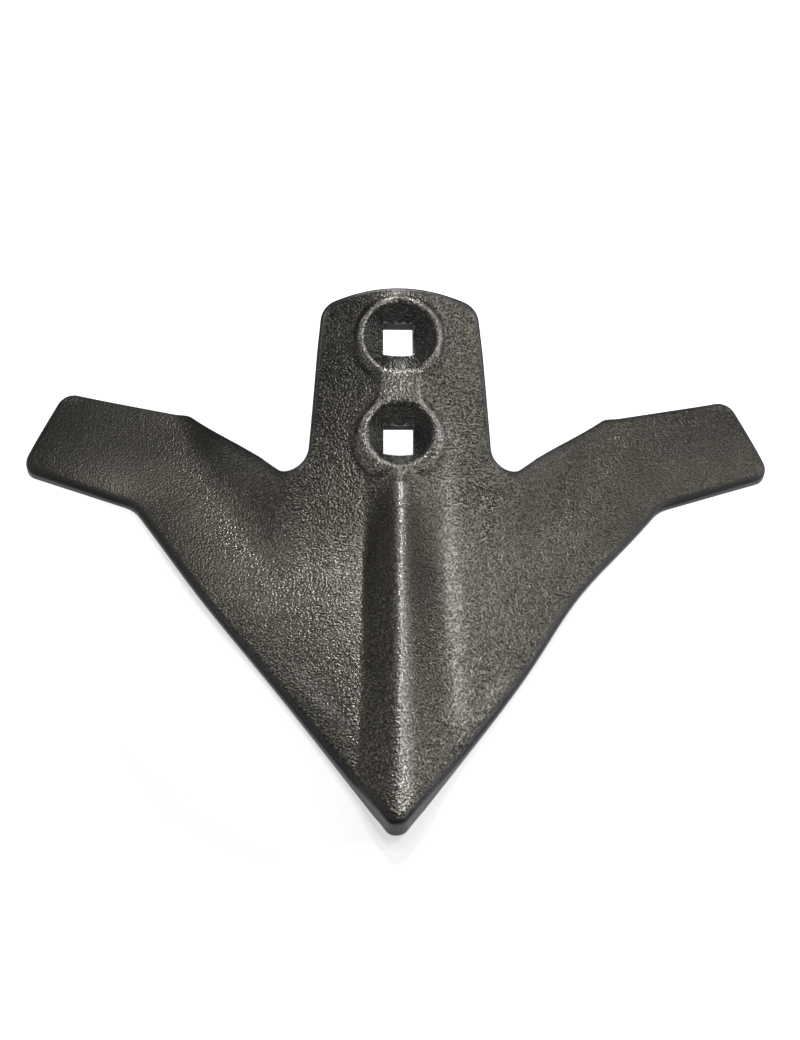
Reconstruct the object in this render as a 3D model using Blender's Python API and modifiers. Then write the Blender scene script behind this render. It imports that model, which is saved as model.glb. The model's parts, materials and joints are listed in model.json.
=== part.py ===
"""Plough share: one forged steel sweep with a raised neck, a central rib and two bolt holes.

Metres, +Z up. The tip points to -Y, the neck rises towards +Y, and X = 0 is the plane of symmetry.
The share rests on Z = 0 on its cutting edges. The sizes below are in millimetres.
"""
import math

import bmesh
import bpy
import numpy as np
from mathutils import Matrix, Vector

for old in list(bpy.data.objects):
    bpy.data.objects.remove(old, do_unlink=True)

MM = 0.001

# Plan outline of the blades, with the sharp corners that the arcs then round
SPAN = 346.8
POINT_Y = -117.087
POINT_HALF = math.radians(35.8)
NOSE_RADIUS = 4.6
KINK_X = 117.2
KINK_RADIUS = 16.0
FRONT_SWEEP = math.radians(21.9)
TIP_RADIUS = 8.0
TIP_CHORD = 43.8
TIP_RAKE = math.radians(17.6)
REAR_SWEEP = math.radians(14.2)
REAR_KINK_X = 97.6
REAR_KINK_RADIUS = 12.0
ROOT_SWEEP = math.radians(47)
NOTCH_RADIUS = 8.0
SPLIT_X = 38.0
SPLIT_SAG = 7.6

# Bolt holes and the neck plate they stand on
HOLE_SIDE = 13.0
HIGH_HOLE_LENGTH = 14.4
HOLE_PITCH = 45.0
HOLE_FROM_POINT = 169.0
HOLE_Z = 38.0
NECK_TILT = math.radians(35)
NECK_THICK = 10.0
NECK_HALF = 39.0
NECK_TAPER = 0.071
NECK_TOP = 68.4
NECK_TOP_RADIUS = 75.0
NECK_CORNER = 10.0
SHOULDER_UP = 40.0

# The collar round the holes, and the bowls that seat the bolt heads
COLLAR_FOOT = 20.4
COLLAR_HEIGHT = 2.9
COLLAR_SLOPE = 0.85
COLLAR_ROUND = 0.5
WAIST_HALF = 10.9
WAIST_HEIGHT = 2.4
LOW_BOWL_RADIUS = 14.2
LOW_BOWL_DEPTH = 6.4
LOW_BOWL_LEAN = math.radians(8)
HIGH_BOWL_RADIUS = 17.0
HIGH_BOWL_DEPTH = 6.0
HIGH_BOWL_LEAN = math.radians(0)
BOWL_UNDER = 0.6
CUT_PAST = 3.0
BURIED = 4.0

# Heights of the forging
WING_THICK = 6.0
EDGE_THICK = 2.5
NOSE_THICK = 9.0
NOSE_LAND = 8.0
NOSE_FADE = 22.0
EDGE_RISE = 0.33
EDGE_SAG = 0.0016
WING_RISE = 0.2
CREST_START = 13.2
CREST_Z = 9.5
CREST_RISE = 0.178
CREST_BOW = 0.00008
RIB_FLANK = 0.9
RIB_ROUND = 3.0
RIB_BLEND = 3.0
RIB_END = 4.0
FOLD_X = 20.0
FOLD_OPEN = 0.5
FOLD_BLEND = 5.0
WING_BLEND = 3.0
NECK_BLEND = 13.0
ROOT_X = 40.0
ROOT_RADIUS = 14.0
UNDER_START = 26.0
UNDER_RUN = 24.0
UNDER_HALF = 48.0
RIM_BEVEL = 1.0
WELD = 0.01

TIP_X = SPAN / 2
HOLE_Y = POINT_Y + HOLE_FROM_POINT
CREST_Y = POINT_Y + CREST_START
KINK_Y = POINT_Y + KINK_X / math.tan(POINT_HALF)
TIP_Y = KINK_Y + (TIP_X - KINK_X) * math.tan(FRONT_SWEEP)
REAR_TIP = (TIP_X - TIP_CHORD * math.sin(TIP_RAKE), TIP_Y + TIP_CHORD * math.cos(TIP_RAKE))
REAR_KINK_Y = REAR_TIP[1] - (REAR_TIP[0] - REAR_KINK_X) * math.tan(REAR_SWEEP)


arc_steps = 24
nose_steps = 11
crown_steps = 11
turn_steps = 48


def smooth_max(a, b, blend):
    """The larger of two heights, with the hollow between them filled over the blend height."""
    gap = np.clip(blend - np.abs(a - b), 0, None)
    return np.maximum(a, b) + gap * gap / (4 * blend)


def behind_edge(x, y):
    """How far a plan point lies behind the line of the cutting edge."""
    return (y - POINT_Y) * math.sin(POINT_HALF) - np.abs(x) * math.cos(POINT_HALF)


def behind_front(x, y):
    """How far a plan point lies behind the line of the wing's front edge."""
    return (y - KINK_Y) * math.cos(FRONT_SWEEP) - (np.abs(x) - KINK_X) * math.sin(FRONT_SWEEP)


def sheet(x, y):
    """Height of the upper face without its rib: blades, wings and neck run into each other.

    Between the two fold lines beside the rib the blades lie level across, as a flat on which the rib stands.
    """
    fold = -smooth_max(-FOLD_X, -FOLD_OPEN * (y - POINT_Y), FOLD_BLEND)
    back = behind_edge(smooth_max(np.abs(x), fold, FOLD_BLEND), y)
    fade = np.exp(-np.clip(y - POINT_Y - NOSE_LAND, 0, None) / NOSE_FADE)
    land = EDGE_THICK + (NOSE_THICK - EDGE_THICK) * fade
    blade = land + EDGE_RISE * back - EDGE_SAG * back * np.abs(back)
    wing = WING_THICK + WING_RISE * behind_front(x, y)
    beside = np.clip(np.abs(x) - ROOT_X, 0, None)
    drop = np.where(beside < ROOT_RADIUS, beside ** 2 / (2 * ROOT_RADIUS), beside - ROOT_RADIUS / 2)
    neck = HOLE_Z + (y - HOLE_Y) * math.tan(NECK_TILT) - drop
    return smooth_max(neck, smooth_max(blade, wing, WING_BLEND), NECK_BLEND)


def upper(x, y):
    """The upper face, with the rib that runs from the nose to the lower bowl."""
    run = y - CREST_Y
    crest = CREST_Z + CREST_RISE * run - CREST_BOW * run * np.abs(run)
    rib = crest - np.hypot(RIB_FLANK * x, RIB_ROUND) + RIB_ROUND
    return smooth_max(sheet(x, y), np.where(y < HOLE_Y - RIB_END, rib, 0), RIB_BLEND)


def lower(x, y):
    """The point under a plan point: straight down in the blades, square to the plate in the neck."""
    turn = np.clip((y - HOLE_Y + UNDER_START) / UNDER_RUN, 0, 1) * np.clip(2 - np.abs(x) / UNDER_HALF, 0, 1)
    turn = turn * turn * (3 - 2 * turn)
    thick = WING_THICK + (NECK_THICK - WING_THICK) * turn
    height = sheet(x, y) - thick * np.cos(NECK_TILT * turn)
    return x, y + thick * np.sin(NECK_TILT * turn), np.clip(height, 0, None)


def rounded(corners):
    """Polyline through (x, y, radius) corners, each turned on an arc of arc_steps chords."""
    points = [Vector(corners[0][:2])]
    for before, here, after in zip(corners, corners[1:], corners[2:]):
        corner = Vector(here[:2])
        into = (Vector(before[:2]) - corner).normalized()
        out = (Vector(after[:2]) - corner).normalized()
        half = into.angle(out) / 2
        centre = corner + (into + out).normalized() * here[2] / math.sin(half)
        start = corner + into * here[2] / math.tan(half) - centre
        turn = start.angle_signed(corner + out * here[2] / math.tan(half) - centre)
        for step in range(arc_steps + 1):
            points.append(centre + Matrix.Rotation(-turn * step / arc_steps, 2) @ start)
    points.append(Vector(corners[-1][:2]))
    return np.array(points)


def mid_arc(number):
    """Where a rounded polyline holds the middle point of one of its arcs, counted from 0."""
    return 1 + number * (arc_steps + 1) + arc_steps // 2


def lengths(path):
    """Length along a polyline to each of its points."""
    return np.concatenate([[0], np.cumsum(np.hypot(*np.diff(path, axis=0).T))])


def along(path, steps, crowd=0.0):
    """Points at even steps of a polyline's length, crowded towards both ends."""
    even = np.linspace(0, 1, steps + 1)
    even = (1 - crowd) * even + crowd * (1 - np.cos(math.pi * even)) / 2
    run = lengths(path)
    return np.stack([np.interp(even * run[-1], run, path[:, axis]) for axis in (0, 1)], axis=1)


def patch(front, rear, inner, outer):
    """Plan points of a four-sided patch, eased between its front, rear, inner and outer sides."""
    u, w = lengths(front), lengths(rear)
    v = np.linspace(0, 1, len(inner))[:, None]
    u = ((1 - v) * (u / u[-1]) + v * (w / w[-1]))[..., None]
    v = v[..., None]
    sides = (1 - v) * front + v * rear + (1 - u) * inner[:, None] + u * outer[:, None]
    corners = (1 - v) * ((1 - u) * front[0] + u * front[-1]) + v * ((1 - u) * rear[0] + u * rear[-1])
    return sides - corners


share_set = bpy.data.collections.new("plough_share")
cutter_set = bpy.data.collections.new("cutters")
bpy.context.scene.collection.children.link(share_set)
bpy.context.scene.collection.children.link(cutter_set)


def placed(name, bm, into):
    mesh = bpy.data.meshes.new(name)
    bm.to_mesh(mesh)
    bm.free()
    made = bpy.data.objects.new(name, mesh)
    into.objects.link(made)
    if into is cutter_set:
        made.hide_render = True
        made.display_type = "WIRE"
    return made


# Outline of the right half, from the split on the cutting edge round to the side of the neck
root_slope = math.tan(ROOT_SWEEP)
side_slope = -NECK_TAPER / math.cos(NECK_TILT)
root_y = ((NECK_HALF - side_slope * HOLE_Y - REAR_KINK_X) * root_slope + REAR_KINK_Y) / (1 - side_slope * root_slope)
root_x = NECK_HALF + side_slope * (root_y - HOLE_Y)
shoulder_x = NECK_HALF - NECK_TAPER * SHOULDER_UP
outline = rounded([
    (SPLIT_X, POINT_Y + SPLIT_X / math.tan(POINT_HALF), 0),
    (KINK_X, KINK_Y, KINK_RADIUS),
    (TIP_X, TIP_Y, TIP_RADIUS),
    (*REAR_TIP, TIP_RADIUS),
    (REAR_KINK_X, REAR_KINK_Y, REAR_KINK_RADIUS),
    (root_x, root_y, NOTCH_RADIUS),
    (shoulder_x, HOLE_Y + SHOULDER_UP * math.cos(NECK_TILT), 0),
])
kink, tip_front, tip_rear, rear_kink, notch = [mid_arc(number) for number in range(5)]

# Top of the neck, drawn on its own slope and then laid in plan
corner_x = NECK_HALF - NECK_TAPER * NECK_TOP
corner_up = NECK_TOP - corner_x ** 2 / (2 * NECK_TOP_RADIUS)
corner = rounded([
    (shoulder_x, SHOULDER_UP, 0),
    (corner_x, corner_up, NECK_CORNER),
    (0, corner_up + corner_x ** 2 / NECK_TOP_RADIUS, 0),
])
corner_end, corner_mid = corner[arc_steps + 1], mid_arc(0)
crown_x = np.linspace(0, corner_end[0], crown_steps + 1)[:-1]
crown_up = corner_end[1] + (corner_end[0] ** 2 - crown_x ** 2) / (2 * NECK_TOP_RADIUS)
lean = (1, math.cos(NECK_TILT))
crown = np.stack([crown_x, crown_up], axis=1)
crown = np.concatenate([crown, corner[arc_steps + 1:corner_mid - 1:-1]]) * lean + (0, HOLE_Y)
side = np.concatenate([outline[notch:], corner[1:corner_mid + 1] * lean + (0, HOLE_Y)])
nose_turn = np.linspace(-math.pi / 2, -POINT_HALF, nose_steps + 1)
nose = NOSE_RADIUS * np.stack([np.cos(nose_turn), np.sin(nose_turn)], axis=1)
nose[:, 1] += POINT_Y + NOSE_RADIUS / math.sin(POINT_HALF)

# Two plan patches: the core from the nose to the neck's crown, and the wing beside it
core_shares = np.array([0, 0.05, 0.11, 0.18, 0.26, 0.35, 0.46, 0.6, 0.75, 0.87, 0.95, 1])
blade_rows, root_rows, neck_rows = 9, 18, 14
blade_cols, wing_cols = 10, 8
split = outline[0]
split_row = (0, split[1] - SPLIT_SAG)
neck_row = (0, HOLE_Y - COLLAR_FOOT * math.cos(NECK_TILT))
rail = np.concatenate([
    along(np.array([nose[-1], split]), blade_rows, 0.3),
    along(np.array([split, outline[notch]]), root_rows, 0.4)[1:],
    along(side, neck_rows, 0.7)[1:],
])
middle = np.concatenate([
    along(np.array([nose[0], split_row]), blade_rows, 0.3),
    along(np.array([split_row, neck_row]), root_rows, 0.2)[1:],
    along(np.array([neck_row, crown[0]]), neck_rows, 0.5)[1:],
])
ends = [
    np.stack([np.interp(core_shares, lengths(end) / lengths(end)[-1], end[:, axis]) for axis in (0, 1)], axis=1)
    for end in (nose, crown)
]
core = patch(ends[0], ends[1], middle, rail)
wing = patch(
    np.concatenate([
        along(outline[:kink + 1], blade_cols, 0.4),
        along(outline[kink:tip_front + 1], wing_cols, 0.5)[1:],
    ]),
    np.concatenate([
        along(outline[notch:rear_kink - 1:-1], blade_cols, 0.5),
        along(outline[rear_kink:tip_rear - 1:-1], wing_cols, 0.5)[1:],
    ]),
    rail[blade_rows:blade_rows + root_rows + 1],
    along(outline[tip_front:tip_rear + 1], root_rows, 0.4),
)

# The forging: both patches lifted to the upper face, then extruded to the lower face
bm = bmesh.new()
for points in (core, wing):
    rows, cols = points.shape[:2]
    made = bmesh.ops.create_grid(bm, x_segments=cols - 1, y_segments=rows - 1, size=1)["verts"]
    for vert in made:
        row = round((vert.co.y + 1) / 2 * (rows - 1))
        col = round((vert.co.x + 1) / 2 * (cols - 1))
        x, y = points[row, col]
        vert.co = Vector((x, y, float(upper(x, y)))) * MM
bmesh.ops.remove_doubles(bm, verts=bm.verts, dist=WELD * MM)
sunk = bmesh.ops.extrude_face_region(bm, geom=bm.faces[:], use_keep_orig=True)["geom"]
for vert in sunk:
    if isinstance(vert, bmesh.types.BMVert):
        vert.co = Vector([float(value) for value in lower(vert.co.x / MM, vert.co.y / MM)]) * MM
centre = [face for face in bm.faces if all(abs(vert.co.x) < WELD * MM for vert in face.verts)]
bmesh.ops.delete(bm, geom=centre, context="FACES")
bmesh.ops.recalc_face_normals(bm, faces=bm.faces)
share = placed("share", bm, share_set)

halves = share.modifiers.new("halves", "MIRROR")
halves.merge_threshold = WELD * MM
rim = share.modifiers.new("rim", "BEVEL")
rim.width = RIM_BEVEL * MM
rim.segments = 2
rim.limit_method = "ANGLE"
rim.angle_limit = math.radians(50)


def on_plate(made, across, up, out=0.0, lean=0.0):
    """Stands a piece on the neck: across it, up its slope, out from its face, leaning up the slope."""
    rise, run = math.sin(NECK_TILT), math.cos(NECK_TILT)
    spot = Vector((across, HOLE_Y + up * run - out * rise, HOLE_Z + up * rise + out * run)) * MM
    made.matrix_world = Matrix.Translation(spot) @ Matrix.Rotation(NECK_TILT - lean, 4, "X")
    return made


def turned(name, profile):
    """A closed solid turned by a Screw from (radius, height) points, from the foot of its axis to the top."""
    bm = bmesh.new()
    line = [bm.verts.new((radius * MM, 0, height * MM)) for radius, height in reversed(profile)]
    for pair in zip(line, line[1:]):
        bm.edges.new(pair)
    made = placed(name, bm, cutter_set)
    screw = made.modifiers.new("turn", "SCREW")
    screw.axis = "Z"
    screw.steps = turn_steps
    screw.render_steps = turn_steps
    screw.use_merge_vertices = True
    screw.merge_threshold = WELD * MM
    return made


def block(name, width, depth, low, high):
    """A box centred on its own axis, between two heights."""
    bm = bmesh.new()
    bmesh.ops.create_cube(bm, size=1)
    for vert in bm.verts:
        vert.co = Vector((vert.co.x * width, vert.co.y * depth, low if vert.co.z < 0 else high)) * MM
    return placed(name, bm, cutter_set)


def joined(onto, operation, other):
    step = onto.modifiers.new(other.name, "BOOLEAN")
    step.operation = operation
    step.solver = "EXACT"
    step.object = other


# Collar: a ring with sloping flanks round each hole, and a web whose hollow sides touch both rings
ring_top = COLLAR_FOOT - COLLAR_HEIGHT / COLLAR_SLOPE
ring_foot = COLLAR_FOOT + COLLAR_ROUND
ring = [
    (0, -BURIED),
    (ring_foot, -BURIED),
    (ring_foot, -COLLAR_ROUND * COLLAR_SLOPE),
    (ring_top + COLLAR_ROUND / COLLAR_SLOPE, COLLAR_HEIGHT - COLLAR_ROUND),
    (ring_top - COLLAR_ROUND, COLLAR_HEIGHT),
    (0, COLLAR_HEIGHT),
]
half_pitch = HOLE_PITCH / 2
waist = (half_pitch ** 2 + WAIST_HALF ** 2 - COLLAR_FOOT ** 2) / (2 * (COLLAR_FOOT - WAIST_HALF))
touch = (WAIST_HALF + waist) * COLLAR_FOOT / (COLLAR_FOOT + waist)
waist_top = COLLAR_HEIGHT + CUT_PAST
hollow = [
    (0, -BURIED - CUT_PAST),
    (waist, -BURIED - CUT_PAST),
    (waist, 0),
    (waist + waist_top / COLLAR_SLOPE, waist_top),
    (0, waist_top),
]
web = on_plate(block("web", 2 * touch, HOLE_PITCH - COLLAR_FOOT, -BURIED, WAIST_HEIGHT), 0, half_pitch)
for name, hand in (("left", -1), ("right", 1)):
    joined(web, "DIFFERENCE", on_plate(turned("waist_" + name, hollow), hand * (WAIST_HALF + waist), half_pitch))
joined(share, "UNION", web)
joined(share, "UNION", on_plate(turned("ring_low", ring), 0, 0))
joined(share, "UNION", on_plate(turned("ring_high", ring), 0, HOLE_PITCH))

# Bowls and square holes: each bowl widens from the punched hole to its lip on the collar
for name, up, length, radius, depth, lean in (
    ("low", 0, HOLE_SIDE, LOW_BOWL_RADIUS, LOW_BOWL_DEPTH, LOW_BOWL_LEAN),
    ("high", HOLE_PITCH, HIGH_HOLE_LENGTH, HIGH_BOWL_RADIUS, HIGH_BOWL_DEPTH, HIGH_BOWL_LEAN),
):
    foot = HOLE_SIDE / 2
    slope = (radius - foot) / depth
    cone = [
        (0, -BOWL_UNDER),
        (foot - BOWL_UNDER * slope, -BOWL_UNDER),
        (foot + (depth + CUT_PAST) * slope, depth + CUT_PAST),
        (0, depth + CUT_PAST),
    ]
    bowl = on_plate(turned("bowl_" + name, cone), 0, up, COLLAR_HEIGHT - depth, lean)
    punch = on_plate(block("punch_" + name, HOLE_SIDE, length, -NECK_THICK - CUT_PAST, COLLAR_HEIGHT / 2), 0, up)
    joined(bowl, "UNION", punch)
    joined(share, "DIFFERENCE", bowl)

steel = bpy.data.materials.new("forged_steel")
steel.use_nodes = True
shader = steel.node_tree.nodes["Principled BSDF"]
shader.inputs["Base Color"].default_value = (0.075, 0.068, 0.055, 1)
shader.inputs["Metallic"].default_value = 0.8
shader.inputs["Roughness"].default_value = 0.42
share.data.materials.append(steel)
share.data.shade_smooth()
share.data.set_sharp_from_angle(angle=math.radians(40))
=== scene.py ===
"""A forged plough share on a white floor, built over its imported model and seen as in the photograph."""
import json
import math

import bpy
import numpy as np
from mathutils import Matrix, Vector

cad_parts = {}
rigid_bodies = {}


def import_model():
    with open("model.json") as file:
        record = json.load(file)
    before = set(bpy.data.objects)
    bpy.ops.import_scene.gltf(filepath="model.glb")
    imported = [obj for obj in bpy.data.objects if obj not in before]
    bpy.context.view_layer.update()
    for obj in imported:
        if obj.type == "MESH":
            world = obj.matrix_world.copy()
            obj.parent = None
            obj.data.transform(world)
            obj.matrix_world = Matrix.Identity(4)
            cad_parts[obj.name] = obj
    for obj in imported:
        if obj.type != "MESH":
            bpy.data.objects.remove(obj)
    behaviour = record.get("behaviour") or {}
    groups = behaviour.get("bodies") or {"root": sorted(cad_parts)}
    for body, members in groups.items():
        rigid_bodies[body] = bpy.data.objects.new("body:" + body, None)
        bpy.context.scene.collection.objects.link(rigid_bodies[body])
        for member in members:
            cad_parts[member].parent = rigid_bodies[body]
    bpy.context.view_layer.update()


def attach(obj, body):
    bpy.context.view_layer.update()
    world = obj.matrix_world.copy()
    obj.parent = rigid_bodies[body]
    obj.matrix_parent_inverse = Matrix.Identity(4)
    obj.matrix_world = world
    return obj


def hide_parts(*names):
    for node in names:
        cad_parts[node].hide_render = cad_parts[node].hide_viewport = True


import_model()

# The camera looks down at the share from the front, at 45 degrees and from about half a metre.
# It is turned 2.3 degrees about its own line of sight, which levels the two wing tips in the frame.
LOOK_TURN = math.radians(-2.85182)
LOOK_DOWN = math.radians(45.0)
LOOK_ROLL = math.radians(2.28075)
LOOK_FROM = (-0.01668, -0.304107, 0.34548155)
LENS_OVER_SIDE = 1100 / 1040

away = Vector((math.sin(LOOK_TURN) * math.cos(LOOK_DOWN), -math.cos(LOOK_TURN) * math.cos(LOOK_DOWN),
               math.sin(LOOK_DOWN)))
level = Vector((math.cos(LOOK_TURN), math.sin(LOOK_TURN), 0))
upward = level.cross(-away)
side_axis = math.cos(LOOK_ROLL) * level + math.sin(LOOK_ROLL) * upward
up_axis = math.cos(LOOK_ROLL) * upward - math.sin(LOOK_ROLL) * level
view_data = bpy.data.cameras.new("view")
view_data.sensor_width = 36
view_data.lens = LENS_OVER_SIDE * 36
view_data.clip_start = 0.01
view = bpy.data.objects.new("view", view_data)
bpy.context.scene.collection.objects.link(view)
placing = Matrix((side_axis, up_axis, away)).transposed().to_4x4()
placing.translation = Vector(LOOK_FROM)
view.matrix_world = placing
bpy.context.scene.camera = view

# The share: one drop forging in carbon steel, shot blasted after trimming and left as forged.
# Two dished blades meet in a rib that runs up to the neck, which lies at 35 degrees against the tine.
# Its two square holes sit in bowls that the bolt heads fill, ringed by one raised collar.
MM = 0.001
POINT_Y = -117.087
POINT_HALF = math.radians(35.8)
NOSE_RADIUS = 4.62
KINK_X = 117.2
KINK_RADIUS = 16.0
FRONT_SWEEP = math.radians(21.9)
TIP_X = 172.3
TIP_RADIUS = 8.0
TIP_CHORD = 43.8
TIP_RAKE = math.radians(17.6)
REAR_SWEEP = math.radians(14.2)
REAR_KINK_X = 97.6
REAR_KINK_RADIUS = 12.0
ROOT_SWEEP = math.radians(47)
NOTCH_RADIUS = 7.6
SPLIT_X = 38.0
HOLE_SIDE = 13.0
HOLE_PITCH = 45.0
HOLE_Y = POINT_Y + 169.0
HOLE_Z = 38.0
NECK_TILT = math.radians(35)
NECK_THICK = 10.0
NECK_HALF = 39.0
NECK_TAPER = 0.071
NECK_TOP = 68.2
NECK_TOP_RADIUS = 75.0
NECK_CORNER = 10.0
NECK_HUMP_RADIUS = 380.0
SHOULDER_UP = 40.0
COLLAR_FOOT = 20.4
COLLAR_SLOPE = 1.0
COLLAR_HEIGHT = 3.0
WAIST_HALF = 10.9
WAIST_DIP = 0.5
LOW_BOWL = (6.5, 14.2, 6.4, 2.2)
HIGH_BOWL = (6.9, 17.0, 6.0, 0.0)
PUNCH_LEFT = 0.7
WING_THICK = 6.0
EDGE_THICK = 2.5
NOSE_THICK = 7.0
NOSE_FADE = 22.0
BLADE_RISE = 0.106
BEVEL_HIGH = 5.0
BEVEL_RUN = 13.0
WING_RISE = 0.2
WING_BEVEL = 2.6
WING_BEVEL_RUN = 7.0
WING_TWIST = 0.025
CREST_Y = POINT_Y + 13.2
CREST_Z = 11.2
CREST_RISE = 0.166
CREST_BOW = 0.00008
FOLD_LEFT = 15.0
FOLD_RIGHT = 25.0
FOLD_OPEN = 0.5
FOLD_BLEND = 5.0
RIB_LEFT = (11.5, 1.2)
RIB_RIGHT = (19.0, 1.7)
RIB_ROUND = 3.6
WING_BLEND = 3.0
NECK_BLEND = 13.0
ROOT_X = 40.0
ROOT_RADIUS = 14.0
ROOT_FALL = 0.0055
RIM_INSET = 3.0
ARC_POINTS = 25
WAIST_LONG = 7.0
PUNCH_LONG = 36.0
HIGH_HOLE_EXTRA = 1.4
DARK_PAST_LIP = 0.6
DARK_FADE = 1.2
DARK_DEEP = 7.0

KINK_Y = POINT_Y + KINK_X / math.tan(POINT_HALF)
TIP_Y = KINK_Y + (TIP_X - KINK_X) * math.tan(FRONT_SWEEP)
REAR_TIP = (TIP_X - TIP_CHORD * math.sin(TIP_RAKE), TIP_Y + TIP_CHORD * math.cos(TIP_RAKE))
REAR_KINK_Y = REAR_TIP[1] - (REAR_TIP[0] - REAR_KINK_X) * math.tan(REAR_SWEEP)
LEAN, RISE = math.cos(NECK_TILT), math.sin(NECK_TILT)


def bell(distance, width):
    """A bell over a distance: exp(-(distance / width)^2)."""
    return np.exp(-(distance / width) ** 2)


def smooth_max(a, b, blend):
    """The larger of two heights, plus (blend - difference)^2 / (4 blend) where they come that near."""
    gap = np.clip(blend - np.abs(a - b), 0, None)
    return np.maximum(a, b) + gap * gap / (4 * blend)


def smooth_min(a, b, blend):
    """The smaller of two heights, with the ridge between them rounded off in the same way."""
    return -smooth_max(-a, -b, blend)


def sheet(x, y):
    """Height of the top face without rib or collar: blade, wing and neck planes, blended by smooth_max.

    Blade: a land that thickens as exp(-distance from the nose), plus rise * d + high * (1 - exp(-d / run)),
    where d is the distance behind the cutting edge. Wing: a slope behind its front edge, with a bevel of the
    same kind, that sinks towards its root. Neck: the tilted plane, which drops beside the root as a square
    and then as a line, with a second, flatter square further out.
    """
    side = FOLD_LEFT + (FOLD_RIGHT - FOLD_LEFT) * np.clip(x / 20 + 0.5, 0, 1)
    fold = smooth_min(side, FOLD_OPEN * (y - POINT_Y), FOLD_BLEND)
    x = np.abs(x)
    held = smooth_max(x, fold, FOLD_BLEND)
    back = (y - POINT_Y) * math.sin(POINT_HALF) - held * math.cos(POINT_HALF)
    fade = np.exp(-np.clip(y - POINT_Y - 8, 0, None) / NOSE_FADE)
    bevel = BEVEL_HIGH * (1 - np.exp(-np.clip(back, -5, None) / BEVEL_RUN))
    blade = EDGE_THICK + (NOSE_THICK - EDGE_THICK) * fade + BLADE_RISE * back + bevel
    behind_front = (y - KINK_Y) * math.cos(FRONT_SWEEP) - (x - KINK_X) * math.sin(FRONT_SWEEP)
    wing = WING_THICK + WING_RISE * behind_front
    wing = wing - WING_BEVEL * np.exp(-np.clip(behind_front, 0, None) / WING_BEVEL_RUN)
    wing = wing - WING_TWIST * np.clip(REAR_TIP[0] - x, 0, None)
    beside = np.clip(x - ROOT_X, 0, None)
    drop = np.where(beside < ROOT_RADIUS, beside ** 2 / (2 * ROOT_RADIUS), beside - ROOT_RADIUS / 2)
    drop = drop + ROOT_FALL * np.clip(beside - 24, 0, None) ** 2
    neck = HOLE_Z + (y - HOLE_Y) * math.tan(NECK_TILT) - drop
    return smooth_max(neck, smooth_max(blade, wing, WING_BLEND), NECK_BLEND)


def ribbed(x, y):
    """Height of the top face with its rib: the crest's height over the sheet, times (1 - t) ** power.

    Here t runs from 0 on the crest to 1 at the foot of the flank, and the crest is rounded by a hyperbola.
    The neck is humped by x^2 / (2 radius) from side to side.
    """
    run = y - CREST_Y
    crest = CREST_Z + CREST_RISE * run - CREST_BOW * run * np.abs(run)
    hump = np.clip((y - HOLE_Y + 25) / 30, 0, 1) * np.clip(4 - np.abs(x) / 15, 0, 1)
    level = sheet(x, y) - hump * x * x / (2 * NECK_HUMP_RADIUS)
    high = smooth_max(crest - sheet(0 * x, y), 0 * x, 2.0) * np.clip((HOLE_Y - 4 - y) / 6, 0, 1)
    out = np.hypot(x, RIB_ROUND) - RIB_ROUND
    left = np.clip(1 - out / RIB_LEFT[0], 0, 1) ** RIB_LEFT[1]
    right = np.clip(1 - out / RIB_RIGHT[0], 0, 1) ** RIB_RIGHT[1]
    return level + high * np.where(x > 0, right, left)


def collar(u, v):
    """Height of the collar over the neck plane: slope * depth inside a figure-of-eight outline, capped.

    The outline is a circle round each hole, joined by two hollow arcs that touch both circles.
    """
    across = np.abs(u)
    waist = (HOLE_PITCH ** 2 / 4 + WAIST_HALF ** 2 - COLLAR_FOOT ** 2) / (2 * (COLLAR_FOOT - WAIST_HALF))
    centre = waist + WAIST_HALF
    half = HOLE_PITCH / 2
    near = np.minimum(np.hypot(u, v), np.hypot(u, v - HOLE_PITCH))
    between = across / centre < 1 - np.abs(v - half) / half
    depth = np.where(between, np.hypot(across - centre, v - half) - waist, COLLAR_FOOT - near)
    top = COLLAR_HEIGHT - WAIST_DIP * bell(v - half, WAIST_LONG)
    return smooth_min(COLLAR_SLOPE * depth, top, 1.6)


def bowl(u, v, half, lip, deep, shift):
    """Height of one bowl: a cone that opens from the hole to its lip, with the lip shifted up the neck.

    At share s of its depth the cone is a circle of radius half + (lip - half) * s about v = shift * s.
    """
    wider = lip - half
    a = wider ** 2 - shift ** 2
    b = 2 * half * wider + 2 * shift * v
    c = half ** 2 - u ** 2 - v ** 2
    share = (np.sqrt(np.maximum(b * b - 4 * a * c, 0)) - b) / (2 * a)
    return COLLAR_HEIGHT - deep * (1 - share)


def top_face(x, y):
    """Points of the top face over plan points: the ribbed sheet, moved along the neck's normal.

    Near the holes it is moved up to the collar by smooth_max, with a low bell above the upper bowl, and then
    down to each bowl by smooth_min.
    """
    z = ribbed(x, y)
    v = (y - HOLE_Y) * LEAN + (z - HOLE_Z) * RISE
    w = (z - HOLE_Z) * LEAN - (y - HOLE_Y) * RISE
    here = np.where((np.abs(x) < 30) & (v > -30), 1.0, 0.0)
    raised = smooth_max(w, np.where(here > 0, collar(x, v), -50), 1.4)
    peak = 0.6 * np.exp(-((x - 0.6) ** 2 + (v - HOLE_PITCH - HIGH_BOWL[1] - 0.6) ** 2) / 2.0)
    raised = raised + peak * here
    for up, (half, lip, deep, shift), edge in ((0, LOW_BOWL, 1.6), (HOLE_PITCH, HIGH_BOWL, 0.5)):
        hollow = bowl(x, v - up, half, lip, deep, shift)
        raised = np.where(here > 0, smooth_min(raised, hollow, edge), raised)
    lift = raised - w
    return np.stack([x, y - lift * RISE, z + lift * LEAN], axis=-1)


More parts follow.
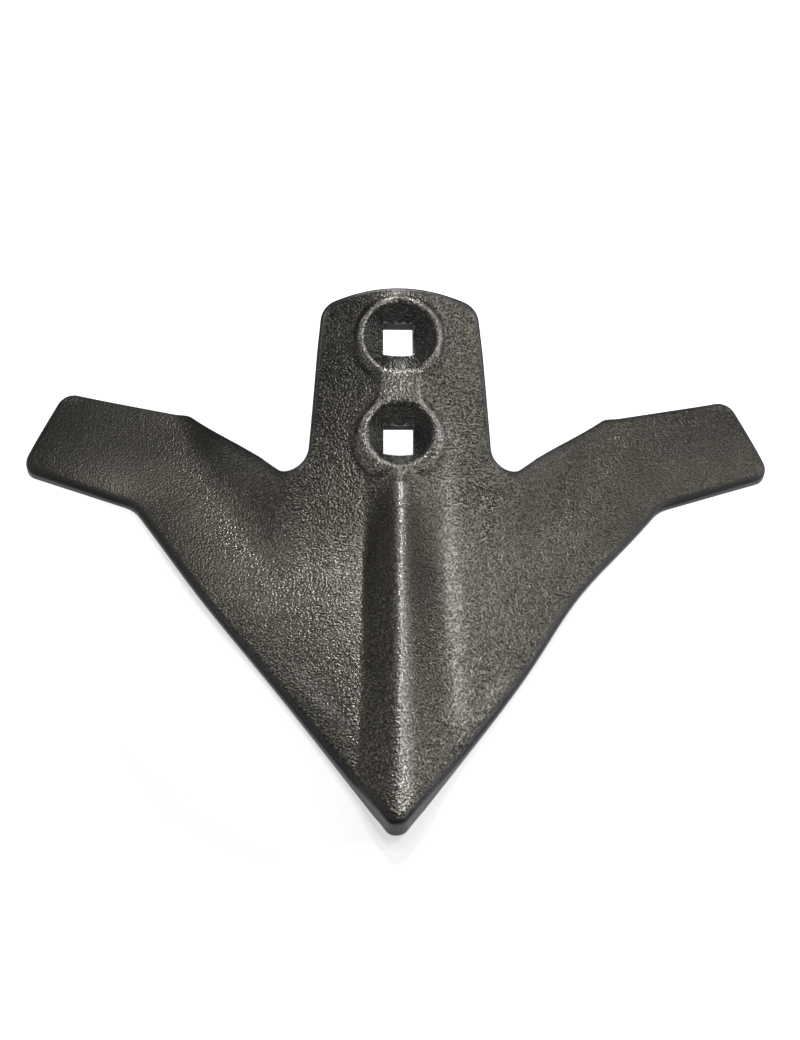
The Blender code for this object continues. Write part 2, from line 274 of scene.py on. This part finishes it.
def under_face(x, y):
    """Points of the bottom face: the sheet less its thickness, straight down in the blades and wings.

    In the neck the thickness is set off at right angles to it, with 3 t^2 - 2 t^3 as the change between them.
    """
    ease = np.clip((y - HOLE_Y + 26) / 24, 0, 1) * np.clip(2 - np.abs(x) / 48, 0, 1)
    ease = ease * ease * (3 - 2 * ease)
    thick = WING_THICK + (NECK_THICK - WING_THICK) * ease
    height = np.clip(sheet(x, y) - thick * np.cos(NECK_TILT * ease), 0, None)
    return np.stack([x, y + thick * np.sin(NECK_TILT * ease), height], axis=-1)


def uneven(points):
    """Points moved as the real forging strays from its mirror image: polynomials in x and y, in millimetres.

    Across, a bell round the middle of each cutting edge is added, deeper on the right side. The same stretch
    of the edges and the left wing are lifted off the ground by about a millimetre.
    """
    x, y = points[:, 0] / 170, (points[:, 1] - 1.08) / 115
    middle = bell(y + 0.07, 0.28) * np.clip(np.abs(x) * 5.7, 0, 1)
    across = -0.5 + 1.54 * y - 0.35 * x ** 2 + 2.55 * x ** 2 * y - 1.73 * y ** 2 + 0.25 * y ** 3
    across = across - np.where(x > 0, 4.6, 1.8) * middle
    along = 2.43 * x - 3.49 * x * y - 0.97 * x ** 3 + 1.12 * x * y ** 2
    lifted = np.where(x > 0, 1.3, 1.1) * middle + 0.9 * np.clip(-2 * x - 0.7, 0, 1)
    return points + np.stack([across, along, lifted], axis=1)


def rounded(corners):
    """A path through (x, y, radius) corners, each corner turned on an arc of ARC_POINTS points."""
    points = [np.array([corners[0][:2]], float)]
    for before, here, after in zip(corners, corners[1:], corners[2:]):
        corner = np.array(here[:2], float)
        into = np.array(before[:2], float) - corner
        out = np.array(after[:2], float) - corner
        into, out = into / np.hypot(*into), out / np.hypot(*out)
        half = math.acos(np.clip(into @ out, -1, 1)) / 2
        centre = corner + (into + out) / np.hypot(*(into + out)) * here[2] / math.sin(half)
        reach = here[2] / math.tan(half)
        first = np.arctan2(*(corner + into * reach - centre)[::-1])
        last = np.arctan2(*(corner + out * reach - centre)[::-1])
        turn = (last - first + math.pi) % math.tau - math.pi
        angle = first + turn * np.linspace(0, 1, ARC_POINTS)
        points.append(centre + here[2] * np.stack([np.cos(angle), np.sin(angle)], axis=1))
    points.append(np.array([corners[-1][:2]], float))
    return np.concatenate(points)


def along(path, steps, crowd=0.0):
    """Points at even steps of a path's length, crowded towards both ends by a share of a cosine."""
    even = np.linspace(0, 1, steps + 1)
    even = (1 - crowd) * even + crowd * (1 - np.cos(math.pi * even)) / 2
    run = np.concatenate([[0], np.cumsum(np.hypot(*np.diff(path, axis=0).T))])
    return np.stack([np.interp(even * run[-1], run, path[:, axis]) for axis in (0, 1)], axis=1)


def patch(front, rear, inner, outer):
    """Plan points of a four-sided patch: the two ruled blends of its sides less the blend of its corners."""
    u = np.concatenate([[0], np.cumsum(np.hypot(*np.diff(front, axis=0).T))])
    w = np.concatenate([[0], np.cumsum(np.hypot(*np.diff(rear, axis=0).T))])
    v = np.linspace(0, 1, len(inner))[:, None]
    u = ((1 - v) * (u / u[-1]) + v * (w / w[-1]))[..., None]
    v = v[..., None]
    sides = (1 - v) * front + v * rear + (1 - u) * inner[:, None] + u * outer[:, None]
    corners = (1 - v) * ((1 - u) * front[0] + u * front[-1]) + v * ((1 - u) * rear[0] + u * rear[-1])
    return sides - corners


# Half outline in plan, from the nose round to the crown of the neck
root_slope = math.tan(ROOT_SWEEP)
side_slope = -NECK_TAPER / LEAN
root_y = (NECK_HALF - side_slope * HOLE_Y - REAR_KINK_X) * root_slope + REAR_KINK_Y
root_y = root_y / (1 - side_slope * root_slope)
root_x = NECK_HALF + side_slope * (root_y - HOLE_Y)
body = rounded([
    (SPLIT_X, POINT_Y + SPLIT_X / math.tan(POINT_HALF), 0),
    (KINK_X, KINK_Y, KINK_RADIUS),
    (TIP_X, TIP_Y, TIP_RADIUS),
    (*REAR_TIP, TIP_RADIUS),
    (REAR_KINK_X, REAR_KINK_Y, REAR_KINK_RADIUS),
    (root_x, root_y, NOTCH_RADIUS),
    (NECK_HALF - NECK_TAPER * SHOULDER_UP, HOLE_Y + SHOULDER_UP * LEAN, 0),
])
corner_x = NECK_HALF - NECK_TAPER * NECK_TOP
corner_up = NECK_TOP - corner_x ** 2 / (2 * NECK_TOP_RADIUS)
corner = rounded([
    (NECK_HALF - NECK_TAPER * SHOULDER_UP, SHOULDER_UP, 0),
    (corner_x, corner_up, NECK_CORNER),
    (corner_x - 20, corner_up + 20 * corner_x / NECK_TOP_RADIUS, 0),
]) * (1, LEAN) + (0, HOLE_Y)
crown_end = corner[ARC_POINTS]
crown_x = np.linspace(crown_end[0], 0, 20)[1:]
crown_drop = (crown_x ** 2 - crown_end[0] ** 2) / (2 * NECK_TOP_RADIUS)
crown = np.stack([crown_x, crown_end[1] - crown_drop * LEAN], axis=1)
nose_turn = np.linspace(-math.pi / 2, -POINT_HALF, 16)
nose = NOSE_RADIUS * np.stack([np.cos(nose_turn), np.sin(nose_turn)], axis=1)
nose = nose + (0, POINT_Y + NOSE_RADIUS / math.sin(POINT_HALF))

# The outline again at the spacing of the mesh, in the runs that bound the two patches
core_share = np.concatenate([np.linspace(0, 0.6, 34, endpoint=False), np.linspace(0.6, 1, 13)])
BLADE_ROWS, ROOT_ROWS, NECK_ROWS, WING_COLS = 40, 70, 112, 82
MID_ARC = 1 + ARC_POINTS // 2
front_tip, rear_tip, notch = (MID_ARC + turns * ARC_POINTS for turns in (1, 2, 4))


def shared(path, shares):
    """Points of a path at given shares of its length."""
    run = np.concatenate([[0], np.cumsum(np.hypot(*np.diff(path, axis=0).T))])
    return np.stack([np.interp(shares * run[-1], run, path[:, axis]) for axis in (0, 1)], axis=1)


runs = [
    shared(nose, core_share),
    along(np.array([nose[-1], body[0]]), BLADE_ROWS, 0.2),
    along(body[:front_tip + 1], WING_COLS, 0.3),
    along(body[front_tip:rear_tip + 1], ROOT_ROWS, 0.4),
    along(body[rear_tip:notch + 1], WING_COLS, 0.3),
    along(np.concatenate([body[notch:], corner[:MID_ARC + 1]]), NECK_ROWS, 0.3),
    shared(np.concatenate([corner[MID_ARC:ARC_POINTS + 1], crown])[::-1], core_share)[::-1],
]
ring = np.concatenate([runs[0]] + [run[1:] for run in runs[1:]])
marks = np.cumsum([0] + [len(run) - 1 for run in runs])
ahead = np.gradient(ring, axis=0)
ahead[0], ahead[-1] = (1, 0), (-1, 0)
ahead = ahead / np.hypot(*ahead.T)[:, None]
inward = np.stack([-ahead[:, 1], ahead[:, 0]], axis=1)
inset = ring + RIM_INSET * inward

sides = [inset[first:last + 1] for first, last in zip(marks, marks[1:])]
seam = along(np.array([sides[2][0], sides[4][-1]]), ROOT_ROWS)
spine_y = np.concatenate([
    np.linspace(inset[0, 1], body[0, 1] - 6, BLADE_ROWS + 1),
    np.linspace(body[0, 1] - 6, HOLE_Y - 17, ROOT_ROWS + 1)[1:],
    np.linspace(HOLE_Y - 17, inset[-1, 1], NECK_ROWS + 1)[1:],
])
spine = np.stack([0 * spine_y, spine_y], axis=1)
rail = np.concatenate([sides[1], seam[1:], sides[5][1:]])
core_plan = patch(sides[0], sides[6][::-1], spine, rail)
wing_plan = patch(sides[2], sides[4][::-1], seam, sides[3])

# The rim: how far its rounding reaches over the face and down the wall, along the outline
reach_face = np.interp(np.arange(len(ring)), marks, [2.4, 2.4, 2.4, 2.2, 1.6, 1.6, 2.0, 2.0])
reach_wall = np.interp(np.arange(len(ring)), marks, [1.6, 1.2, 1.2, 1.6, 1.5, 1.4, 1.6, 1.6])
REACH_LOW = 0.5


def rim_band(ring, inset):
    """The rim as a profile carried along the outline: face, quarter ellipse, wall, quarter ellipse, face."""
    top_in, top = top_face(*inset.T), top_face(*ring.T)
    low_in, low = under_face(*inset.T), under_face(*ring.T)
    wall = low - top
    deep = np.linalg.norm(wall, axis=1, keepdims=True)
    wall = wall / deep
    turn = np.linspace(0, math.pi / 2, 7)[None, :, None]
    over = (top_in - top) / np.linalg.norm(top_in - top, axis=1, keepdims=True)
    below = (low_in - low) / np.linalg.norm(low_in - low, axis=1, keepdims=True)
    down = np.minimum(reach_wall[:, None], 0.45 * deep)
    upper = (top[:, None] + (over * reach_face[:, None])[:, None] * (1 - np.sin(turn))
             + (wall * down)[:, None] * (1 - np.cos(turn)))
    turn = turn[:, ::-1]
    turned_in = below[:, None] * (1 - np.sin(turn)) - wall[:, None] * (1 - np.cos(turn))
    lower = low[:, None] + REACH_LOW * turned_in
    steps = np.array([0.25, 0.5, 0.75])[None, :, None]
    face = upper[:, -1:] * (1 - steps) + lower[:, :1] * steps
    return np.concatenate([top_in[:, None], upper, face, lower, low_in[:, None]], axis=1)


def grid_faces(rows, columns, start, turned):
    """Vertex numbers of the quads of a grid whose points start at a given number."""
    first = start + np.arange(rows - 1)[:, None] * columns + np.arange(columns - 1)[None]
    quads = np.stack([first, first + 1, first + columns + 1, first + columns], axis=-1).reshape(-1, 4)
    return quads[:, ::-1] if turned else quads


band_rim = np.ones((len(ring), 1)) * np.concatenate([[0.4, 0.6, 0.75, 0.9, 1], np.ones(12), [0, 0]])
points, quads, sheared = [], [], []
count = 0
for mirror in (1, -1):
    band = rim_band(ring * (mirror, 1), inset * (mirror, 1))
    core, wing = core_plan * (mirror, 1), wing_plan * (mirror, 1)
    sheets = [
        (top_face(*np.moveaxis(core, -1, 0)), None, False),
        (top_face(*np.moveaxis(wing, -1, 0)), None, False),
        (under_face(*np.moveaxis(core, -1, 0)), None, True),
        (under_face(*np.moveaxis(wing, -1, 0)), None, True),
        (band, band_rim, False),
    ]
    for grid, rim, turned in sheets:
        rows, columns = grid.shape[:2]
        points.append(grid.reshape(-1, 3))
        sheared.append((np.zeros(rows * columns) if rim is None else rim).ravel())
        quads.append(grid_faces(rows, columns, count, turned != (mirror < 0)))
        count += rows * columns
points, quads, sheared = np.concatenate(points), np.concatenate(quads), np.concatenate(sheared)
_, first, number = np.unique(np.round(points, 4), axis=0, return_index=True, return_inverse=True)
points, quads, sheared = points[first], number.ravel()[quads], sheared[first]


def scaled(points):
    """How much darker the colour is at points in millimetres: 1 inside the lips of the two bowls, else 0."""
    x, y, z = points.T
    v = (y - HOLE_Y) * LEAN + (z - HOLE_Z) * RISE
    w = (z - HOLE_Z) * LEAN - (y - HOLE_Y) * RISE
    inside = [lip + DARK_PAST_LIP - np.hypot(x, v - up - shift)
              for up, (_, lip, _, shift) in ((0, LOW_BOWL), (HOLE_PITCH, HIGH_BOWL))]
    return np.clip(np.maximum(*inside) / DARK_FADE, 0, 1) * (w > -DARK_DEEP)


def store(mesh, field, domain, values):
    """Keep a value per point or per face with a mesh, where the material reads it by name."""
    mesh.attributes.new(field, "FLOAT", domain).data.foreach_set("value", np.asarray(values, np.float32))


def made_mesh(name, points, faces, sheared):
    """An uneven mesh from points in millimetres, with values per point for where it is sheared and where it
    is darker in the bowls.
    """
    mesh = bpy.data.meshes.new(name)
    mesh.from_pydata((uneven(points) * MM).tolist(), [], faces.tolist())
    store(mesh, "sheared", "POINT", sheared)
    store(mesh, "scaled", "POINT", scaled(points))
    mesh.update()
    return mesh


share = bpy.data.objects.new("share_forging", made_mesh("share_forging", points, quads, sheared))
bpy.context.scene.collection.objects.link(share)

# The square holes, punched through the bowls
CUBE = np.array([[x, y, z] for x in (-0.5, 0.5) for y in (-0.5, 0.5) for z in (-0.5, 0.5)])
CUBE_FACES = np.array([[0, 1, 3, 2], [4, 6, 7, 5], [0, 4, 5, 1], [2, 3, 7, 6], [0, 2, 6, 4], [1, 5, 7, 3]])
for up, high in ((0, HOLE_SIDE), (HOLE_PITCH, HOLE_SIDE + HIGH_HOLE_EXTRA)):
    across, lie, out = (CUBE * (HOLE_SIDE, high, PUNCH_LONG) - (PUNCH_LEFT, 0, 0)).T
    lie = lie + up
    place = np.stack([across, HOLE_Y + lie * LEAN - out * RISE, HOLE_Z + lie * RISE + out * LEAN], axis=1)
    punch = bpy.data.objects.new("punch", made_mesh("punch", place, CUBE_FACES, np.full(8, 0.5)))
    punch.data.attributes["scaled"].data.foreach_set("value", np.ones(8, np.float32))
    bpy.context.scene.collection.objects.link(punch)
    cut = share.modifiers.new("punch", "BOOLEAN")
    cut.operation = "DIFFERENCE"
    cut.solver = "EXACT"
    cut.object = punch
bpy.context.view_layer.update()
punched = bpy.data.meshes.new_from_object(share.evaluated_get(bpy.context.evaluated_depsgraph_get()))
for old in [item for item in bpy.data.objects if item.name.startswith("punch")]:
    bpy.data.objects.remove(old, do_unlink=True)
share.modifiers.clear()
share.data = punched
share.data.shade_smooth()
share.data.set_sharp_from_angle(angle=math.radians(38))


def rubbed(mesh):
    """How much brighter each point is: more where it stands out of its neighbours, plus painted highlights
    along ridges.

    The bend is four times the height over the mean of the neighbours, over the square of their distance.
    The painted highlights are bells across the crest, the web, the folds beside the rib and the bevels near
    the nose.
    """
    at, normal = np.empty(3 * len(mesh.vertices)), np.empty(3 * len(mesh.vertices))
    mesh.vertices.foreach_get("co", at)
    mesh.vertices.foreach_get("normal", normal)
    ends = np.empty(2 * len(mesh.edges), int)
    mesh.edges.foreach_get("vertices", ends)
    at, normal, ends = at.reshape(-1, 3) / MM, normal.reshape(-1, 3), ends.reshape(-1, 2)
    both = np.concatenate([ends, ends[:, ::-1]])
    many = np.bincount(both[:, 0], minlength=len(at))
    step = at[both[:, 1]] - at[both[:, 0]]
    high = -np.bincount(both[:, 0], np.einsum("ij,ij->i", step, normal[both[:, 0]]), len(at)) / many
    wide = np.bincount(both[:, 0], np.einsum("ij,ij->i", step, step), len(at)) / many
    bend = 4 * high / (wide + 0.04)
    for _ in range(2):
        bend = 0.4 * bend + 0.6 * np.bincount(both[:, 0], bend[both[:, 1]], len(at)) / many
    x, y, z = at.T
    lie = (y - HOLE_Y) * LEAN + (z - HOLE_Z) * RISE
    crest = 1.25 * bell(x + 0.5, 2.8) * (lie < -COLLAR_FOOT)
    web = bell(x, 7) * bell(lie - HOLE_PITCH / 2, 6)
    fold = np.where(x > 0, 0.75 * bell(x - 20.5, 4), 0.25 * bell(x + 15.5, 2))
    fold = fold * np.clip((y - POINT_Y - 38) / 12, 0, 1) * np.clip((HOLE_Y + 16 - y) / 20, 0, 1)
    back = (y - POINT_Y) * math.sin(POINT_HALF) - np.abs(x) * math.cos(POINT_HALF)
    bevel = 0.6 * bell(back - 7.5, 2.5) * bell(y + 60, 15)
    # Painted highlights: the colour is brightened across the crest, the web, the folds beside the rib and the
    # nose bevels.
    painted_highlights = np.max([crest, web, fold, bevel], axis=0) * (normal[:, 2] > 0.5)
    return np.clip(bend * 5 - 0.6, 0, 0.6) + 0.5 * painted_highlights


def bored(mesh):
    """1 on the faces of the square holes' walls, which stand along the neck's normal near a hole, else 0."""
    centre, normal = np.empty(3 * len(mesh.polygons)), np.empty(3 * len(mesh.polygons))
    mesh.polygons.foreach_get("center", centre)
    mesh.polygons.foreach_get("normal", normal)
    (x, y, z), (_, tilt_y, tilt_z) = centre.reshape(-1, 3).T / MM, normal.reshape(-1, 3).T
    v = (y - HOLE_Y) * LEAN + (z - HOLE_Z) * RISE
    near = np.minimum(np.hypot(x, v), np.hypot(x, v - HOLE_PITCH)) < HOLE_SIDE
    return near * (np.abs(tilt_z * LEAN - tilt_y * RISE) < 0.3)


store(share.data, "rubbed", "POINT", rubbed(share.data))
store(share.data, "bored", "FACE", bored(share.data))


class Tap:
    """An output of a shader node, so that sums and products of patterns read as plain maths."""

    def __init__(self, tree, socket):
        self.tree = tree
        self.socket = socket

    def node(self, kind, settings, inputs, output=0):
        """Any node: its settings first, then the value or link of each named socket."""
        made = self.tree.nodes.new(kind)
        for name, value in settings.items():
            if name == "stops":
                while len(made.color_ramp.elements) < len(value):
                    made.color_ramp.elements.new(0.5)
                for stop, (at, grey) in zip(made.color_ramp.elements, value):
                    stop.position = at
                    stop.color = (grey, grey, grey, 1)
            else:
                setattr(made, name, value)
        for name, value in inputs.items():
            if isinstance(value, Tap):
                self.tree.links.new(value.socket, made.inputs[name])
            else:
                made.inputs[name].default_value = value
        return Tap(self.tree, made.outputs[output])

    def maths(self, operation, *values):
        """One sum, product or other operation on values or links."""
        return self.node("ShaderNodeMath", {"operation": operation}, dict(enumerate(values)))

    def __add__(self, other):
        return self.maths("ADD", self, other)

    def __sub__(self, other):
        return self.maths("SUBTRACT", self, other)

    def __mul__(self, other):
        return self.maths("MULTIPLY", self, other)

    def __rsub__(self, other):
        return self.maths("SUBTRACT", other, self)

    __radd__ = __add__
    __rmul__ = __mul__

    def ramp(self, *stops):
        """A grey read off this value, from stops that are each a position and a brightness."""
        return self.node("ShaderNodeValToRGB", {"stops": stops}, {"Fac": self})

    def mixed(self, first, second):
        """A colour between two, by this value."""
        return self.node("ShaderNodeMix", {"data_type": "RGBA"}, {0: self, 6: first, 7: second}, 2)


# The skin: dark scale with a bright grain, smooth on sheared walls, dull in the holes, brighter where it
# stands out, with painted highlights, painted shade and painted light
DARK_SKIN = (0.045, 0.042, 0.036, 1)
BRIGHT_GRAIN = (0.29, 0.271, 0.23, 1)
NECK_SHADE_COLOUR = (0.05, 0.048, 0.046, 1)
SHEARED_STEEL = (0.075, 0.075, 0.08, 1)
BOWL_DARK_COLOUR = (0.055, 0.054, 0.053, 1)
BRIGHT_EDGE_AND_HIGHLIGHT = (0.60, 0.58, 0.53, 1)
HOLE_WALL = (0.035, 0.034, 0.034, 1)
GRAIN_DEPTH = 0.0006
forged = bpy.data.materials.new("forged_steel")
forged.use_nodes = True
tree = forged.node_tree
shader = tree.nodes["Principled BSDF"]
place = Tap(tree, tree.nodes.new("ShaderNodeTexCoord").outputs["Object"])


def noise(scale, detail):
    """Cloudy noise round 0.5 over the share, with so many waves per metre and finer layers."""
    return place.node("ShaderNodeTexNoise", {}, {"Vector": place, "Scale": scale, "Detail": detail})


def marked(field):
    """What the mesh keeps under a name, as a value of the material."""
    return place.node("ShaderNodeAttribute", {"attribute_name": field}, {}, "Fac")


grain = noise(1150, 0.4)
spark = noise(1350, 0).ramp((0.56, 0), (0.66, 1))
lumps = noise(420, 1)
drift = noise(38, 3)
wall, bore = marked("sheared"), marked("bored")
edge_and_highlight_mask = marked("rubbed") * (1 - wall) * (1 - bore)
bowl_darkening = marked("scaled") * (1 - edge_and_highlight_mask)
sideways = place.node("ShaderNodeSeparateXYZ", {}, {"Vector": place}, "X")
lengthways = place.node("ShaderNodeSeparateXYZ", {}, {"Vector": place}, "Y")
# Painted shade: a mask over the left side of the upper neck, which the lamps leave dark.
painted_neck_shade = (sideways * -1).ramp((0.008, 0), (0.015, 1)) * lengthways.ramp((0.052, 0), (0.076, 1))
across = sideways.maths("ABSOLUTE", sideways)
middle_grain_and_light = across.ramp((0.075, 1.0), (0.115, 0.4))
right_grain_and_light = sideways.ramp((0.0, 0.6), (0.02, 1.0))
painted_left_light = (sideways * -1).ramp((0.03, 0), (0.075, 1))
rough_skin = (1 - 0.8 * wall) * (0.3 + 0.7 * middle_grain_and_light) * right_grain_and_light
height = (grain + lumps * 0.3) * rough_skin
bump = place.node("ShaderNodeBump", {}, {"Strength": 1.0, "Distance": GRAIN_DEPTH, "Height": height}, 0)
tree.links.new(bump.socket, shader.inputs["Normal"])
fleck = grain.ramp((0.42, 0), (0.60, 1))
# The bright grain is strongest in the middle and on the right: painted sheen where the lamps catch the grain
# most.
sparkle = (0.25 + 0.33 * right_grain_and_light) * middle_grain_and_light
tone = fleck * sparkle + (1 - sparkle) * 0.36 + (drift - 0.5) * 0.25 + spark * 0.5 * right_grain_and_light * middle_grain_and_light
# Painted light: the tone is raised on the left side, which the lamps light less, and lowered towards the wing
# ends as painted shade.
tone = tone + painted_left_light * 0.35 - (1 - middle_grain_and_light) * 0.1
colour = tone.mixed(DARK_SKIN, BRIGHT_GRAIN)
# Painted shade: the left of the upper neck is mixed towards a darker colour.
colour = (painted_neck_shade * 0.55).mixed(colour, NECK_SHADE_COLOUR)
colour = wall.mixed(colour, SHEARED_STEEL)
# The colour is darker inside the bowls.
colour = (bowl_darkening * 0.8).mixed(colour, BOWL_DARK_COLOUR)
# Mixed towards bright steel where the surface stands out, and for the painted highlights along the ridges.
colour = (edge_and_highlight_mask * (0.5 + 0.7 * fleck)).mixed(colour, BRIGHT_EDGE_AND_HIGHLIGHT)
colour = bore.mixed(colour, HOLE_WALL)
tree.links.new(colour.socket, shader.inputs["Base Color"])
rough = 0.245 + 0.08 * drift + 0.12 * wall + 0.10 * (1 - middle_grain_and_light) + 0.5 * bore
tree.links.new(rough.socket, shader.inputs["Roughness"])
metal = 0.85 - 0.7 * bore
tree.links.new(metal.socket, shader.inputs["Metallic"])
share.data.materials.clear()
share.data.materials.append(forged)
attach(share, "root")
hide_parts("share")

# The floor is matt white card that runs out of view on all sides.
# What the camera and mirrors see of it is lifted to white, less so near the share, and the shadow stays.
FLOOR_HALF = 3.0
SHADE_CENTRE = (-0.025, -0.035, 0)
FLOOR_CORNERS = [(x * FLOOR_HALF, y * FLOOR_HALF, 0) for x, y in ((-1, -1), (1, -1), (1, 1), (-1, 1))]
floor_mesh = bpy.data.meshes.new("floor")
floor_mesh.from_pydata(FLOOR_CORNERS, [], [(0, 1, 2, 3)])
floor = bpy.data.objects.new("floor", floor_mesh)
bpy.context.scene.collection.objects.link(floor)
card = bpy.data.materials.new("white_card")
card.use_nodes = True
card_tree = card.node_tree
card_shader = card_tree.nodes["Principled BSDF"]
card_shader.inputs["Base Color"].default_value = (0.92, 0.92, 0.92, 1)
card_shader.inputs["Roughness"].default_value = 0.9
card_shader.inputs["Specular IOR Level"].default_value = 0.0
path = card_tree.nodes.new("ShaderNodeLightPath")
seen = Tap(card_tree, path.outputs["Is Camera Ray"])
mirrored = Tap(card_tree, path.outputs["Is Glossy Ray"])
through = Tap(card_tree, path.outputs["Is Transmission Ray"])
spot = Tap(card_tree, card_tree.nodes.new("ShaderNodeTexCoord").outputs["Object"])
apart = spot.node("ShaderNodeVectorMath", {"operation": "DISTANCE"}, {0: spot, 1: SHADE_CENTRE}, "Value")
lift = apart.ramp((0.09, 0.58), (0.17, 1.0))
glow = (seen + mirrored + through) * lift
card_tree.links.new(glow.socket, card_shader.inputs["Emission Color"])
card_shader.inputs["Emission Strength"].default_value = 1.0
floor_mesh.materials.append(card)

# Light: the main soft box stands behind and above the share, with a strong one low at the right.
# Weaker ones stand above it and on both sides, in a dim grey room.
LAMP_AIM = Vector((0, 0, 0.02))
FAR_LAMP, NEAR_LAMP = 0.08, 0.06
world = bpy.data.worlds.new("room")
bpy.context.scene.world = world
world.use_nodes = True
world.node_tree.nodes["Background"].inputs["Color"].default_value = (1, 1, 1, 1)
world.node_tree.nodes["Background"].inputs["Strength"].default_value = 0.085


def soft_box(name, at, side, watts):
    """A square area lamp that faces the middle of the share."""
    lamp = bpy.data.lights.new(name, "AREA")
    lamp.shape = "RECTANGLE"
    lamp.size = lamp.size_y = side
    lamp.energy = watts
    made = bpy.data.objects.new(name, lamp)
    bpy.context.scene.collection.objects.link(made)
    made.location = at
    made.rotation_euler = (Vector(at) - LAMP_AIM).to_track_quat("Z", "Y").to_euler()


soft_box("behind", (0.0, 0.636, 0.636), FAR_LAMP, 1.35)
soft_box("above", (0.0, 0.38, 0.816), FAR_LAMP, 0.60)
soft_box("overhead", (0.06, -0.05, 0.30), NEAR_LAMP, 0.12)
soft_box("near right", (0.20, 0.10, 0.40), NEAR_LAMP, 0.16)
soft_box("near left", (-0.20, 0.10, 0.30), NEAR_LAMP, 0.06)
soft_box("low right", (0.816, 0.0, 0.38), FAR_LAMP, 0.70)
soft_box("low left", (-0.816, 0.0, 0.38), FAR_LAMP, 0.14)
soft_box("far right", (0.61, 0.28, 0.50), FAR_LAMP, 0.32)

bpy.context.scene.view_settings.view_transform = "Standard"
